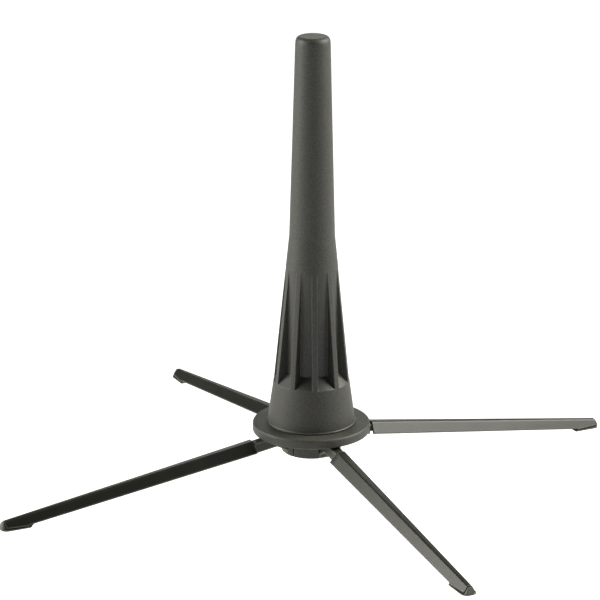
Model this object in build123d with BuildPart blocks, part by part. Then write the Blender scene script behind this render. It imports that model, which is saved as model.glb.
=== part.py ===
from build123d import *

import os
from math import cos, radians, sin, sqrt

# A stand for a trumpet: a hollow tapered peg on a round hub with four folding legs.
# Millimetres, +Z up, origin on the floor under the middle of the hub. Legs along +X, +Y, -X and -Y.

# Hub
flange_radius = 36.5
flange_thickness = 6.0
flange_top = 37.0
flange_bottom = flange_top - flange_thickness
flange_rim_round = 1.6
flange_under_round = 0.8
plug_radius = 18.5
plug_bottom = 17.9
plug_edge_round = 0.8
boss_radius = 18.05
boss_height = 14.0
boss_chamfer = 1.2
cup_radius = 15.2
cup_floor = 34.0

# Peg: radii at heights above the flange
peg_height = 244.8
seat_gap = 0.05
cone_base_radius = 27.4
shoulder_height = 27.0
shoulder_radius = 23.6
core_foot_radius = 16.7
core_foot_height = shoulder_height + shoulder_radius - core_foot_radius
flute_top_height = 100.5
flare_top_height = 120.5
flare_top_radius = 14.05
peg_top_radius = 10.7
peg_flat_radius = 7.3
peg_dome_height = 4.7
flute_cutter_margin = 6.0
bead_radius = 0.55
bead_sink = 0.2
rib_count = 10
rib_width = 3.4
rib_phase = 33.6
mouth_radius = 18.10
mouth_depth = 26.0
peg_wall = 1.9
peg_roof = 3.0

# Legs
leg_count = 4
leg_slope = 8.65
channel_start = 41.3
channel_start_height = 30.2
channel_length = 165.8
sheet = 1.5
top_half_width_hub = 2.35
top_half_width_tip = 1.35
wall_depth_hub = 7.25
wall_depth_tip = 6.15
splay_hub = 0.785
splay_tip = 0.62
bend_round = 1.6
foot_flat = 13.5
heel_run = 0.9
foot_metal_height = 0.7

# Hinge arm and pin
pin_reach = 11.5
pin_height = 24.4
pin_radius = 1.5
pin_length = 10.0
pin_clearance = 0.05
knuckle_radius = 6.2
block_reach = 18.2
gusset_reach = 25.0
gusset_height = 21.0
arm_width = 6.4
arm_top_gap = 0.3
arm_top_depth = 1.8
arm_bottom_depth = 8.1
arm_end_gap = 0.6
tongue_depth = 6.2
tongue_length = 20.0
tongue_clearance = 0.03

# Slots in the plug
slot_width = 7.0
slot_clearance = 0.3
throat_width = 2.5
bearing_depth = 1.85
slit_angle = 27.0
slit_width = 0.9
slit_inner_radius = 14.8

# Foot pad
pad_clearance = 0.04
pad_lead = 3.9
pad_lead_height = 1.5
pad_sole_length = 17.8
pad_half_width = 4.8
pad_corner_round = 4.0
sole_thickness = 0.66
toe_gap = 0.5
toe_overlap = 0.4
toe_drop = 0.35
toe_reach = 207.3
toe_front_height = 1.0
clear_height = 20.0

slope = radians(leg_slope)
along = Vector(cos(slope), 0, -sin(slope))
upward = Vector(sin(slope), 0, cos(slope))


def taper(start, end, distance):
    """A value that runs evenly from the hub end of the channel to its tip."""
    return start + (end - start) * distance / channel_length


def leg_point(distance, depth=0.0):
    """A point on the leg's middle plane, this far along its top line and this deep under it."""
    start = Vector(channel_start, 0, channel_start_height)
    return start + along * distance - upward * depth


def leg_plane(distance):
    """The plane square to the leg: local X is across the leg, local Y is up."""
    return Plane(origin=leg_point(distance), x_dir=(0, 1, 0), z_dir=along)


def depth_to_height(distance, height):
    """How deep under the leg's top line a horizontal level lies."""
    return (leg_point(distance).Z - height) / cos(slope)


def wall_foot(distance, depth, offset):
    """Half width and depth of the wall's lower corner, on the outer face (0) or the inner one (sheet)."""
    splay = taper(splay_hub, splay_tip, distance)
    top = taper(top_half_width_hub, top_half_width_tip, distance)
    length = sqrt(1 + splay**2)
    outer_depth = depth - sheet * splay / length
    return top + splay * outer_depth - offset / length, outer_depth + offset * splay / length


def wall_head(distance, offset):
    """Half width of the flat top, on the outer face (0) or offset into the channel."""
    splay = taper(splay_hub, splay_tip, distance)
    top = taper(top_half_width_hub, top_half_width_tip, distance)
    return top + splay * offset - offset * sqrt(1 + splay**2)


def depth_of(point):
    """How deep a point lies under the leg's top line."""
    return (leg_point(0) - point).dot(upward)


def is_top_bend(edge):
    """True for the edges that run along the leg where its flat top meets its walls."""
    runs_along = abs((edge % 0.5).dot(along)) > 0.99
    return runs_along and abs(depth_of(edge @ 0)) < 0.01 and abs(depth_of(edge @ 1)) < 0.01


# Peg
flare_slope = (shoulder_radius - flare_top_radius) / (flare_top_height - shoulder_height)
flute_top_radius = flare_top_radius + flare_slope * (flare_top_height - flute_top_height)
bore_shoulder = mouth_depth + mouth_radius - (core_foot_radius - peg_wall)
peg_plane = Plane.XZ.shift_origin((0, 0, flange_top + seat_gap))

with BuildPart() as flutes:
    with BuildSketch(peg_plane):
        with BuildLine():
            Polyline(
                (core_foot_radius, core_foot_height),
                (shoulder_radius, shoulder_height),
                (shoulder_radius + flute_cutter_margin, shoulder_height),
                (flute_top_radius + flute_cutter_margin, flute_top_height),
                (flute_top_radius, flute_top_height),
                close=True,
            )
        make_face()
    revolve(axis=Axis.Z)
    with BuildSketch(Plane.XY.offset(flange_top)):
        with PolarLocations(0, rib_count, start_angle=rib_phase):
            Rectangle(2 * shoulder_radius, rib_width, align=(Align.MIN, Align.CENTER))
    extrude(amount=peg_height, mode=Mode.SUBTRACT)

with BuildPart() as peg:
    with BuildSketch(peg_plane):
        with BuildLine():
            dome_start = Vector(peg_top_radius, peg_height - peg_dome_height)
            dome_end = Vector(peg_flat_radius, peg_height)
            shaft_lean = dome_start - Vector(flare_top_radius, flare_top_height)
            Polyline(
                (0, peg_height),
                (0, 0),
                (cone_base_radius, 0),
                (shoulder_radius, shoulder_height),
                (flare_top_radius, flare_top_height),
                dome_start,
            )
            Spline(dome_start, dome_end, tangents=(shaft_lean, (-1, 0)))
            Line(dome_end, (0, peg_height))
        make_face()
    revolve(axis=Axis.Z)
    add(flutes.part, mode=Mode.SUBTRACT)
    with BuildSketch(peg_plane):
        with BuildLine():
            Polyline(
                (0, 0),
                (mouth_radius, 0),
                (mouth_radius, mouth_depth),
                (core_foot_radius - peg_wall, bore_shoulder),
                (flute_top_radius - peg_wall, flute_top_height),
                (flare_top_radius - peg_wall, flare_top_height),
                (peg_top_radius - peg_wall, peg_height - peg_roof),
                (0, peg_height - peg_roof),
                close=True,
            )
        make_face()
    revolve(axis=Axis.Z, mode=Mode.SUBTRACT)
    with BuildSketch(peg_plane):
        with Locations((cone_base_radius - bead_sink, bead_radius)):
            Circle(bead_radius)
    revolve(axis=Axis.Z)

# Hub: flange, boss and plug in one moulding, with a pocket for each leg
slot_inner_radius = pin_reach - knuckle_radius - slot_clearance
pocket_height = flange_bottom - plug_bottom
bearing_reach = slot_width / 2 + bearing_depth

with BuildPart() as leg_pocket:
    with BuildSketch(Plane.XY.offset(plug_bottom)):
        with Locations((slot_inner_radius, 0)):
            Rectangle(plug_radius, slot_width, align=(Align.MIN, Align.CENTER))
        with PolarLocations(slit_inner_radius, 1, start_angle=slit_angle):
            Rectangle(plug_radius, slit_width, align=(Align.MIN, Align.CENTER))
    extrude(amount=pocket_height)
    with BuildSketch(Plane.XY.offset(plug_bottom)):
        with Locations((pin_reach, 0)):
            Rectangle(throat_width, 2 * bearing_reach)
    extrude(amount=pin_height - plug_bottom)
    with BuildSketch(Plane.XZ):
        with Locations((pin_reach, pin_height)):
            Circle(pin_radius + pin_clearance)
    extrude(amount=bearing_reach, both=True)

with BuildPart() as base_hub:
    with BuildSketch(Plane.XZ):
        with BuildLine():
            Polyline(
                (0, plug_bottom),
                (plug_radius, plug_bottom),
                (plug_radius, flange_bottom),
                (flange_radius, flange_bottom),
                (flange_radius, flange_top),
                (boss_radius, flange_top),
                (boss_radius, flange_top + boss_height),
                (cup_radius, flange_top + boss_height),
                (cup_radius, cup_floor),
                (0, cup_floor),
                close=True,
            )
        make_face()
    revolve(axis=Axis.Z)
    rims = base_hub.edges().filter_by(GeomType.CIRCLE)
    flange_rims = rims.filter_by(lambda edge: abs(edge.radius - flange_radius) < 0.01).sort_by(Axis.Z)
    fillet(flange_rims[-1], flange_rim_round)
    fillet(flange_rims[0], flange_under_round)
    fillet(rims.sort_by(Axis.Z)[0], plug_edge_round)
    boss_rims = rims.filter_by(lambda edge: abs(edge.radius - boss_radius) < 0.01).sort_by(Axis.Z)
    chamfer(boss_rims[-1], boss_chamfer)
    for quarter in range(leg_count):
        add(leg_pocket.part, rotation=(0, 0, quarter * 360 / leg_count), mode=Mode.SUBTRACT)

# Leg channel: folded sheet, open underneath, with deeper walls over the foot
heel_bottom = channel_length - foot_flat
heel_top = heel_bottom - heel_run
channel_depths = {
    0: wall_depth_hub,
    heel_top: taper(wall_depth_hub, wall_depth_tip, heel_top),
    heel_bottom: depth_to_height(heel_bottom, foot_metal_height),
    channel_length: depth_to_height(channel_length, foot_metal_height),
}

with BuildPart() as leg_channel:
    for distance, depth in channel_depths.items():
        outer_foot = wall_foot(distance, depth, 0)
        inner_foot = wall_foot(distance, depth, sheet)
        outer_head = wall_head(distance, 0)
        inner_head = wall_head(distance, sheet)
        with BuildSketch(leg_plane(distance)):
            with BuildLine():
                Polyline(
                    (-outer_head, 0),
                    (outer_head, 0),
                    (outer_foot[0], -outer_foot[1]),
                    (inner_foot[0], -inner_foot[1]),
                    (inner_head, -sheet),
                    (-inner_head, -sheet),
                    (-inner_foot[0], -inner_foot[1]),
                    (-outer_foot[0], -outer_foot[1]),
                    close=True,
                )
            make_face()
    loft(ruled=True)
    bends = leg_channel.edges().filter_by(is_top_bend)
    fillet(bends, bend_round)

# Hinge arm: round knuckle, flat top under the flange, and a tongue inside the channel
arm_top_height = flange_bottom - arm_top_gap
arm_flat_end = (channel_start_height - arm_top_depth * cos(slope) - arm_top_height) / sin(slope)
arm_end_top = leg_point(-arm_end_gap, arm_top_depth)
arm_end_bottom = leg_point(-arm_end_gap, arm_bottom_depth)
gusset_end = leg_point((gusset_reach - arm_end_bottom.X) / cos(slope) - arm_end_gap, arm_bottom_depth)

with BuildPart() as hinge_arm:
    with BuildSketch(Plane.XZ):
        with BuildLine():
            Polyline(
                (pin_reach, pin_height - knuckle_radius),
                (pin_reach, arm_top_height),
                (leg_point(arm_flat_end, arm_top_depth).X, arm_top_height),
                (arm_end_top.X, arm_end_top.Z),
                (arm_end_bottom.X, arm_end_bottom.Z),
                (gusset_end.X, gusset_end.Z),
                (block_reach, gusset_height),
                (block_reach, pin_height - knuckle_radius),
                close=True,
            )
        make_face()
        with Locations((pin_reach, pin_height)):
            Circle(knuckle_radius)
            Circle(pin_radius, mode=Mode.SUBTRACT)
    extrude(amount=arm_width / 2, both=True)
    for distance in (-2 * arm_end_gap, tongue_length):
        offset_in = sheet + tongue_clearance
        splay = taper(splay_hub, splay_tip, distance)
        head = wall_head(distance, offset_in)
        shoulder = offset_in + (arm_width / 2 - head) / splay
        with BuildSketch(leg_plane(distance)):
            with BuildLine():
                Polyline(
                    (-head, -offset_in),
                    (head, -offset_in),
                    (arm_width / 2, -shoulder),
                    (arm_width / 2, -tongue_depth),
                    (-arm_width / 2, -tongue_depth),
                    (-arm_width / 2, -shoulder),
                    close=True,
                )
            make_face()
    loft(ruled=True)

# Hinge pin
with BuildPart() as hinge_pin:
    with BuildSketch(Plane.XZ):
        with Locations((pin_reach, pin_height)):
            Circle(pin_radius)
    extrude(amount=pin_length / 2, both=True)

# Foot pad: fills the end of the channel, with a sole under the metal and a rounded toe in front
pad_start = heel_top - pad_lead
pad_inset = sheet + pad_clearance
toe_start = channel_length + toe_gap
toe_top = leg_point(toe_start, toe_drop)
sole_start = toe_reach - pad_sole_length
toe_half_width = wall_head(channel_length, 0)
toe_depth = depth_to_height(channel_length, 0)
toe_foot = toe_half_width + splay_tip * toe_depth

with BuildPart() as foot_pad:
    for distance in (pad_start, toe_start + toe_overlap):
        splay = taper(splay_hub, splay_tip, distance)
        head = wall_head(distance, pad_inset)
        floor_depth = depth_to_height(distance, 0)
        foot = head + splay * (floor_depth - pad_inset)
        with BuildSketch(leg_plane(distance)):
            with BuildLine():
                Polyline(
                    (-head, -pad_inset),
                    (head, -pad_inset),
                    (foot, -floor_depth),
                    (-foot, -floor_depth),
                    close=True,
                )
            make_face()
    loft(ruled=True)
    with BuildSketch(leg_plane(toe_start)):
        with BuildLine():
            Polyline(
                (-toe_half_width, -toe_drop),
                (toe_half_width, -toe_drop),
                (toe_foot, -toe_depth - sheet),
                (-toe_foot, -toe_depth - sheet),
                close=True,
            )
        make_face()
    extrude(amount=toe_reach - toe_top.X + sheet)
    with BuildSketch(Plane.XY):
        with Locations((sole_start - pad_lead, 0)):
            Rectangle(
                toe_reach - sole_start + pad_lead,
                2 * pad_half_width,
                align=(Align.MIN, Align.CENTER),
            )
    extrude(amount=sole_thickness)
    with BuildSketch(Plane.XY) as pad_outline:
        with Locations((sole_start - 2 * pad_lead, 0)):
            Rectangle(
                toe_reach - sole_start + 2 * pad_lead,
                2 * pad_half_width,
                align=(Align.MIN, Align.CENTER),
            )
        fillet(pad_outline.vertices().group_by(Axis.X)[-1], pad_corner_round)
    extrude(amount=clear_height, mode=Mode.INTERSECT)
    with BuildSketch(Plane.XZ):
        with BuildLine():
            Polyline(
                (leg_point(pad_start, pad_inset).X - pad_lead, pad_lead_height + pad_lead),
                (leg_point(pad_start).X, pad_lead_height),
                (sole_start, 0),
                (toe_reach, 0),
                (toe_reach, toe_front_height),
                (toe_top.X, toe_top.Z),
                (toe_top.X, clear_height),
                (leg_point(pad_start, pad_inset).X - pad_lead, clear_height),
                close=True,
            )
        make_face()
    extrude(amount=clear_height, both=True, mode=Mode.INTERSECT)

os.makedirs("parts", exist_ok=True)
peg.part.label = "peg"
export_step(peg.part, "parts/peg.step")
base_hub.part.label = "base_hub"
export_step(base_hub.part, "parts/base_hub.step")

leg_pieces = {
    "leg_channel": leg_channel,
    "hinge_arm": hinge_arm,
    "hinge_pin": hinge_pin,
    "foot_pad": foot_pad,
}
for piece_name, piece in leg_pieces.items():
    for number in range(1, leg_count + 1):
        with BuildPart() as turned:
            add(piece.part, rotation=(0, 0, (number - 1) * 360 / leg_count))
        turned.part.label = f"{piece_name}_{number}"
        export_step(turned.part, f"parts/{piece_name}_{number}.step")
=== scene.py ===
# %% [markdown]
# # A folding trumpet stand, from frame to finished picture
#
# The stand is a hollow plastic peg on a round hub, with four legs folded from sheet steel. The
# trumpet's bell goes down over the peg, and the legs fold under the hub when the stand is put
# away. The engineering model, called the frame here, fixes every size and is never changed. It
# is already shaped in full, down to the ribs, the slots and the foot pads, so this lesson adds
# only what the eye sees on top of that: finishes, paper, lamps and a camera.
#
# We start by loading the frame and keeping its box, so that at the end we can compare it with
# the size of the visible model.

import math

import bpy
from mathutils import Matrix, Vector


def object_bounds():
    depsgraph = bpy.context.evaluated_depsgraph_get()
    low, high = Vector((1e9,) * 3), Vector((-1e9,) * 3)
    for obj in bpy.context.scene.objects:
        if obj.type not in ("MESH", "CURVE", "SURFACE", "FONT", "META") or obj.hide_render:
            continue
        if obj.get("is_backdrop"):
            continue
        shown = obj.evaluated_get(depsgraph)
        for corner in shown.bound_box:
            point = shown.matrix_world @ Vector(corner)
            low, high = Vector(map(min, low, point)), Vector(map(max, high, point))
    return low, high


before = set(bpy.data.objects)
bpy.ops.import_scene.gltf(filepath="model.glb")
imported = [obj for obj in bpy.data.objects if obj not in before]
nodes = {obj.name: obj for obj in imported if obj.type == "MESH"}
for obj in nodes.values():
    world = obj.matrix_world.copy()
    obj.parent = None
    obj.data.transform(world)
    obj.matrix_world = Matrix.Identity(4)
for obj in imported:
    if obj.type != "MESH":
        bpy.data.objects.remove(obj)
cad_box = [list(corner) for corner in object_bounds()]
mm = 0.001
print("nodes in the frame:", len(nodes))
print("box of the frame, mm:", [[round(value / mm, 1) for value in corner] for corner in cad_box])

# %% [markdown]
# ## Finding a direction
#
# The stand looks much the same from four sides, so its front is wherever the camera stands.
# Coordinates would say little about where a camera or a lamp is, so each is placed by two
# angles instead: a turn round the stand and a rise over the floor. One helper changes such a
# pair into a direction.

# %% Point from the stand to a thing in the room
def toward(turn, rise):
    """The unit vector from the stand to a thing at this turn from -Y and this rise over the floor."""
    turn, rise = math.radians(turn), math.radians(rise)
    return Vector((-math.sin(turn) * math.cos(rise), -math.cos(turn) * math.cos(rise), math.sin(rise)))


print("turn 0, rise 0 points along:", [round(value, 2) for value in toward(0, 0)])

# %% [markdown]
# ## The camera
#
# The stand is seen from standing height and from well back, through a long lens, so the legs
# hardly converge. The camera looks down by a fixed tilt. It also pans a little off the axis,
# which leaves room for the long leg on the right. A lens shift could do the same, but a pan is
# what a camera on a tripod does, and other views stay centred with it.

# %% Place the camera
view_turn = 26.23
camera_distance = 1.837
camera_height = 0.722
tilt_down = 18.27
pan = 0.283
camera_roll = 0.17

camera_data = bpy.data.cameras.new("studio_camera")
camera_data.lens = 188.9
camera_data.sensor_width = 36
camera_data.clip_end = 50
camera = bpy.data.objects.new("studio_camera", camera_data)
bpy.context.scene.collection.objects.link(camera)
camera.location = toward(view_turn, 0) * camera_distance + Vector((0, 0, camera_height))
camera.rotation_euler = [math.radians(angle) for angle in (90 - tilt_down, -camera_roll, pan - view_turn)]
bpy.context.scene.camera = camera
print("camera at, m:", [round(value, 3) for value in camera.location])

# %% [markdown]
# ## Sums of wires
#
# Blender draws a material as a graph of nodes, and graphs are hard to read as code. We would
# rather write them as sums. A `Wire` is one output of a node, and adding or multiplying wires
# adds the Math node that does it. The reflected forms make `1 - mask` work as well.

# %% Make wires that can be added and multiplied
def connect(tree, socket, value):
    """Links a wire into a socket, or sets the socket to a plain value."""
    if isinstance(value, Wire):
        tree.links.new(value.socket, socket)
    else:
        socket.default_value = value


class Wire:
    """One output of a node, which takes part in ordinary arithmetic."""

    def __init__(self, tree, socket):
        self.tree = tree
        self.socket = socket

    def joined(self, operation, first, second):
        node = self.tree.nodes.new("ShaderNodeMath")
        node.operation = operation
        connect(self.tree, node.inputs[0], first)
        connect(self.tree, node.inputs[1], second)
        return Wire(self.tree, node.outputs[0])

    def __add__(self, other):
        return self.joined("ADD", self, other)

    def __radd__(self, other):
        return self.joined("ADD", other, self)

    def __sub__(self, other):
        return self.joined("SUBTRACT", self, other)

    def __rsub__(self, other):
        return self.joined("SUBTRACT", other, self)

    def __mul__(self, other):
        return self.joined("MULTIPLY", self, other)

    def __rmul__(self, other):
        return self.joined("MULTIPLY", other, self)


print("wires take +, - and *")

# %% [markdown]
# ## One finish, one material
#
# A `Finish` is one material with its Principled shader ready. Its `add` method places any node
# that isn't a sum: the node's type, then its settings, which are set first because they can
# change its sockets, and then the values or wires of those sockets. `fix` sets a number that
# is the same all over the surface, and `feed` joins what changes from place to place.

# %% Make the finish class
class Finish:
    """One material, with its Principled shader ready to be fed."""

    def __init__(self, name):
        self.material = bpy.data.materials.new(name)
        self.material.use_nodes = True
        self.tree = self.material.node_tree
        self.shader = self.tree.nodes["Principled BSDF"]

    def add(self, kind, settings=None, sockets=None, output=0):
        node = self.tree.nodes.new(kind)
        for name, value in (settings or {}).items():
            setattr(node, name, value)
        for key, value in (sockets or {}).items():
            connect(self.tree, node.inputs[key], value)
        return Wire(self.tree, node.outputs[output])

    def fix(self, socket, value):
        self.shader.inputs[socket].default_value = value

    def feed(self, **inputs):
        for name, value in inputs.items():
            connect(self.tree, self.shader.inputs[name.replace("_", " ")], value)
        print("finish:", self.material.name, "with", len(self.tree.nodes), "nodes")


print("a finish can add, fix and feed")

# %% [markdown]
# ## Noise in millimetres
#
# Every finish here is made of noise of several sizes. An image could carry the same grain, but
# it would need each piece unwrapped and would blur up close, and noise has neither fault. It is
# measured in object coordinates, which are in metres and stay with the piece when a leg folds.
# Dividing one by the blob's size gives Blender's scale, so we can think in millimetres.

# %% Measure noise on the piece
def noise(finish, size, detail=2.0):
    """Noise from 0 to 1 whose blobs are about this size in millimetres."""
    on_the_piece = finish.add("ShaderNodeTexCoord", output="Object")
    sockets = {"Vector": on_the_piece, "Scale": 1 / (size * mm), "Detail": detail, "Roughness": 0.5}
    return finish.add("ShaderNodeTexNoise", {"noise_dimensions": "3D"}, sockets)


def blend(finish, mask, first, second):
    """A colour that runs from the first to the second as the mask goes from 0 to 1."""
    first, second = [end if isinstance(end, Wire) else (*end, 1) for end in (first, second)]
    # A Mix node has sockets A, B and Result for each kind of data; these are the colour ones.
    colour_a, colour_b, colour_result = 6, 7, 2
    sockets = {"Factor": mask, colour_a: first, colour_b: second}
    return finish.add("ShaderNodeMix", {"data_type": "RGBA"}, sockets, colour_result)


def scaled(colour, factor):
    """The same colour, this many times as bright."""
    return [factor * value for value in colour]


print("noise of 1 mm has the scale", round(1 / mm))

# %% [markdown]
# ## Edges that catch the light
#
# No edge of a real moulding or a real sheet is perfectly sharp, and every edge wears first. We
# could round each edge in the mesh, but the frame's shapes must stay as they are. Instead,
# Blender's Bevel node gives the normal that a slightly rounded edge would have, and shading with
# that normal draws the thin highlight along the edge. Where it leans away from the true normal
# there is an edge, so their difference is also the mask for the wear and for the painted
# highlight, a lighter colour laid along the edges.

# %% Find and round the edges
def rounded_normal(finish, radius):
    """The surface normal as if every edge had this radius in millimetres."""
    return finish.add("ShaderNodeBevel", {"samples": 6}, {"Radius": radius * mm})


def edge_mask(finish, rounded, reach):
    """1 on edges, 0 on flat faces; a larger reach makes the mask fill sooner."""
    true_normal = finish.add("ShaderNodeNewGeometry", output="Normal")
    settings = {"operation": "DOT_PRODUCT"}
    agreement = finish.add("ShaderNodeVectorMath", settings, {0: rounded, 1: true_normal}, "Value")
    return finish.add("ShaderNodeClamp", sockets={"Value": (1 - agreement) * reach})


def bumped(finish, height, depth, strength, normal):
    """A bump of this depth in millimetres on top of a normal."""
    sockets = {"Height": height, "Distance": depth * mm, "Strength": strength, "Normal": normal}
    return finish.add("ShaderNodeBump", sockets=sockets)


print("edge helpers ready")

# %% [markdown]
# ## Grained black plastic: the peg and the hub
#
# The mould for such a peg is spark eroded, which leaves a fine even grain that scatters light
# and hides scratches. The black is really a warm dark grey. Grain this fine could be cut into
# the mesh only with millions of faces, so it is a bump. The same grain speckles the colour,
# because its hollows hold dust and its tops are rubbed. A broad mottle keeps a large face from
# looking flat. The ribs' edges are painted lighter, partly as rubbed wear and partly as a
# painted highlight along each edge.

# %% Make the plastic finishes
def grained_plastic(name, colour, roughness):
    finish = Finish(name)
    grain = noise(finish, size=0.62, detail=1.0)
    mottle = noise(finish, size=22.0, detail=3.0)
    patches = noise(finish, size=3.0, detail=4.0)
    rounded = rounded_normal(finish, radius=0.7)
    # Edges painted lighter in patches: partly rubbed wear, partly a painted highlight along each edge.
    wear_and_highlight = edge_mask(finish, rounded, reach=10.0) * (0.35 + 0.65 * patches)
    speckle = 1.9 * grain + 0.5 * mottle - 0.75
    dusty, rubbed, worn_and_highlit = scaled(colour, 0.45), scaled(colour, 1.75), scaled(colour, 3.6)
    finish.fix("Specular IOR Level", 0.45)
    finish.feed(
        Base_Color=blend(finish, wear_and_highlight * 0.8, blend(finish, speckle, dusty, rubbed), worn_and_highlit),
        Roughness=roughness + 0.10 * mottle - 0.08 * wear_and_highlight,
        Normal=bumped(finish, grain, depth=0.10, strength=0.6, normal=rounded),
    )
    return finish.material


peg_plastic = grained_plastic("peg_plastic", colour=(0.0240, 0.0240, 0.0200), roughness=0.52)
hub_plastic = grained_plastic("hub_plastic", colour=(0.0240, 0.0240, 0.0195), roughness=0.53)

# %% [markdown]
# ## Satin black powder coat: the legs and their arms
#
# Powder coat melts and flows out smooth, but not flat: it keeps a shallow orange peel about two
# millimetres across. It is glossier than the plastic, so a leg's face turns from dark to light
# as soon as it turns towards a lamp. A clear coat over a dull base could give that gloss too,
# but powder coat is one layer, and one layer is enough. It draws thin over the sheet's edges,
# which rub lighter. A band about as wide as the sheet is thick is painted lighter along every
# edge, partly for that wear and partly as a painted highlight; on a leg's narrow top the band
# covers the whole strip, a painted highlight for a top that faces the light.

# %% Make the painted finishes
def powder_coat(name, colour, roughness):
    finish = Finish(name)
    peel = noise(finish, size=1.6, detail=1.5)
    mottle = noise(finish, size=14.0, detail=3.0)
    patches = noise(finish, size=2.0, detail=4.0)
    # A band along every edge, and over a leg's whole narrow top, is painted lighter: partly worn paint,
    # partly painted highlight.
    thin_and_lit_band = edge_mask(finish, rounded_normal(finish, radius=1.6), reach=14.0)
    wear_and_highlight = thin_and_lit_band * (0.5 + 0.5 * patches)
    thicker, worn_and_highlit = scaled(colour, 1.4), scaled(colour, 12.0)
    rounded = rounded_normal(finish, radius=0.8)
    finish.fix("Specular IOR Level", 0.25)
    finish.feed(
        Base_Color=blend(finish, wear_and_highlight, blend(finish, mottle, colour, thicker), worn_and_highlit),
        Roughness=roughness + 0.08 * mottle,
        Normal=bumped(finish, peel, depth=0.02, strength=0.4, normal=rounded),
    )
    return finish.material


leg_paint = powder_coat("leg_paint", colour=(0.008, 0.008, 0.0062), roughness=0.28)
arm_paint = powder_coat("arm_paint", colour=(0.018, 0.018, 0.0145), roughness=0.36)

# %% [markdown]
# ## Bare steel: the hinge pins
#
# A hinge pin is a short length of drawn wire, pressed in and never painted, so that it turns
# freely. It hardly shows, up in its slot, but whoever looks from below should find steel there.
# Steel takes its colour from what it mirrors, so it is metallic. Stretched highlights could
# show the drawing marks, but on a pin this small fine dull marks in its gloss are enough.

# %% Make the steel finish
def drawn_steel(name, dull, bright):
    finish = Finish(name)
    marks = noise(finish, size=0.5, detail=3.0)
    mottle = noise(finish, size=3.0)
    rounded = rounded_normal(finish, radius=0.15)
    finish.fix("Metallic", 1.0)
    finish.feed(
        Base_Color=blend(finish, mottle, dull, bright),
        Roughness=0.25 + 0.2 * marks,
        Normal=bumped(finish, marks, depth=0.01, strength=0.4, normal=rounded),
    )
    return finish.material


pin_steel = drawn_steel("pin_steel", dull=(0.42, 0.42, 0.41), bright=(0.58, 0.58, 0.56))

# %% [markdown]
# ## Rubbery black: the foot pads
#
# The pads are a soft moulding that grips the floor. They are duller than the paint round them,
# and they gather a grey dusting where they rub. The dust could be painted on by hand, but four
# alike feet would then be dusty in the same places. Noise of a few millimetres is quicker.

# %% Make the foot finish
def foot_moulding(name, colour):
    finish = Finish(name)
    grain = noise(finish, size=0.3)
    dust = noise(finish, size=4.0, detail=5.0)
    rounded = rounded_normal(finish, radius=0.5)
    finish.feed(
        Base_Color=blend(finish, dust, colour, scaled(colour, 2.0)),
        Roughness=0.48 + 0.15 * dust,
        Normal=bumped(finish, grain, depth=0.03, strength=0.4, normal=rounded),
    )
    return finish.material


foot_rubber = foot_moulding("foot_rubber", colour=(0.036, 0.036, 0.029))

# %% [markdown]
# ## Give every node its finish
#
# A node's name says what it is, so one short table from the first words of the name to a finish
# covers all four legs at once. The number at the end of the name says only which leg it is.

# %% Assign the finishes
finish_of = {
    "peg": peg_plastic,
    "base_hub": hub_plastic,
    "leg_channel": leg_paint,
    "hinge_arm": arm_paint,
    "hinge_pin": pin_steel,
    "foot_pad": foot_rubber,
}
for node_name, node in nodes.items():
    kind = node_name.rstrip("0123456789").rstrip("_")
    node.data.materials.clear()
    node.data.materials.append(finish_of[kind])
print("finished nodes:", len(nodes))

# %% [markdown]
# ## The paper
#
# A dark product is shown on white paper that glows from behind, so that no shadow is left on it.
# The glow is an emission added to a matt sheet, and both vary a little, as paper fibre does.
#
# The sheet hangs well below the feet, as under a clear shelf. The legs fold down from
# the hub, so a sheet at the feet would hide them as soon as they fold.

# %% Lay the paper
paper_half_width = 6.0
paper_drop = 0.18

paper = Finish("white_paper")
fibre = noise(paper, size=6.0, detail=4.0)
paper.fix("Emission Strength", 0.9)
paper.feed(
    Base_Color=blend(paper, fibre, (0.36, 0.36, 0.36), (0.40, 0.40, 0.40)),
    Roughness=0.8 + 0.1 * fibre,
    Emission_Color=blend(paper, fibre, (0.94, 0.94, 0.94), (1.0, 1.0, 1.0)),
)

paper_mesh = bpy.data.meshes.new("paper_floor")
corners = [(-1, -1), (1, -1), (1, 1), (-1, 1)]
paper_points = [(x * paper_half_width, y * paper_half_width, -paper_drop) for x, y in corners]
paper_mesh.from_pydata(paper_points, [], [(0, 1, 2, 3)])
paper_mesh.materials.append(paper.material)
paper_floor = bpy.data.objects.new("paper_floor", paper_mesh)
bpy.context.scene.collection.objects.link(paper_floor)
paper_floor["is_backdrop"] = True
print("paper laid, m:", 2 * paper_half_width, "wide,", paper_drop, "below the feet")

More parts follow.
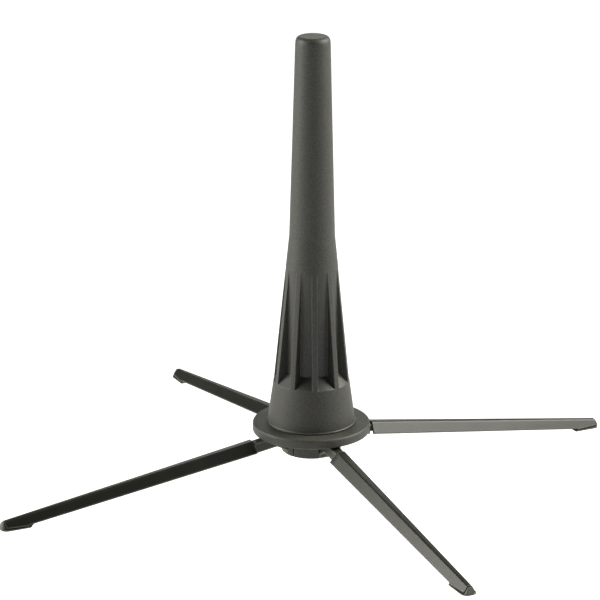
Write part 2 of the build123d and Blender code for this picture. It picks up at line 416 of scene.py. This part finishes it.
# %% [markdown]
# ## The lamps
#
# Black plastic shows its shape only by what it mirrors. One large lamp overhead could light it
# evenly, but then the peg would look flat. A soft box on each side gives it a light band down
# each flank with a darker middle, and picks out the leg walls that face it. A weaker one low
# behind the stand lights the flat tops. The boxes are very slightly warm, like the lamps in them.
#
# A box's power grows with its area, so we ask for its radiance, which is how bright it looks.

# %% Hang the lamps
aim_height = 0.12


def soft_box(name, turn, rise, distance, size, radiance):
    """A soft box at this turn and rise from the stand, facing its middle."""
    lamp = bpy.data.lights.new(name, "AREA")
    lamp.shape = "RECTANGLE"
    lamp.size, lamp.size_y = size
    lamp.energy = radiance * math.pi * size[0] * size[1]
    lamp.color = (1.0, 0.99, 0.92)
    lamp_object = bpy.data.objects.new(name, lamp)
    bpy.context.scene.collection.objects.link(lamp_object)
    direction = toward(turn, rise)
    lamp_object.location = Vector((0, 0, aim_height)) + direction * distance
    lamp_object.rotation_euler = (-direction).to_track_quat("-Z", "Y").to_euler()
    print("lamp:", name, "at, m:", [round(value, 2) for value in lamp_object.location])


soft_box("right_box", view_turn - 99, rise=36, distance=1.5, size=(1.0, 1.0), radiance=17.5)
soft_box("left_box", view_turn + 88, rise=22, distance=1.5, size=(1.0, 1.0), radiance=12.5)
soft_box("back_box", view_turn + 178, rise=22, distance=1.8, size=(0.9, 0.8), radiance=2.0)

# %% [markdown]
# ## The room
#
# The leg walls that face no box should stay dark, so the room is an even dim grey. The Standard
# view keeps the paper pure white and the blacks as they were mixed, where a film-like view
# would grey them both.

# %% Dim the room
room = bpy.data.worlds.new("room")
room.use_nodes = True
room_light = room.node_tree.nodes["Background"].inputs
room_light["Color"].default_value = (1.0, 1.0, 1.0, 1)
room_light["Strength"].default_value = 0.06
bpy.context.scene.world = room
bpy.context.scene.view_settings.view_transform = "Standard"
print("room strength:", round(room_light["Strength"].default_value, 2))

# %% [markdown]
# ## Check the size and finish
#
# The visible model must be as large as the frame. The last lines print the sizes of both boxes
# along each axis, side by side.

# %% Compare the boxes and finish
seen_box = [list(corner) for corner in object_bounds()]
for axis, name in enumerate("XYZ"):
    cad_size = cad_box[1][axis] - cad_box[0][axis]
    seen_size = seen_box[1][axis] - seen_box[0][axis]
    print("size along", name, "mm: frame", round(cad_size / mm, 1), "seen", round(seen_size / mm, 1))
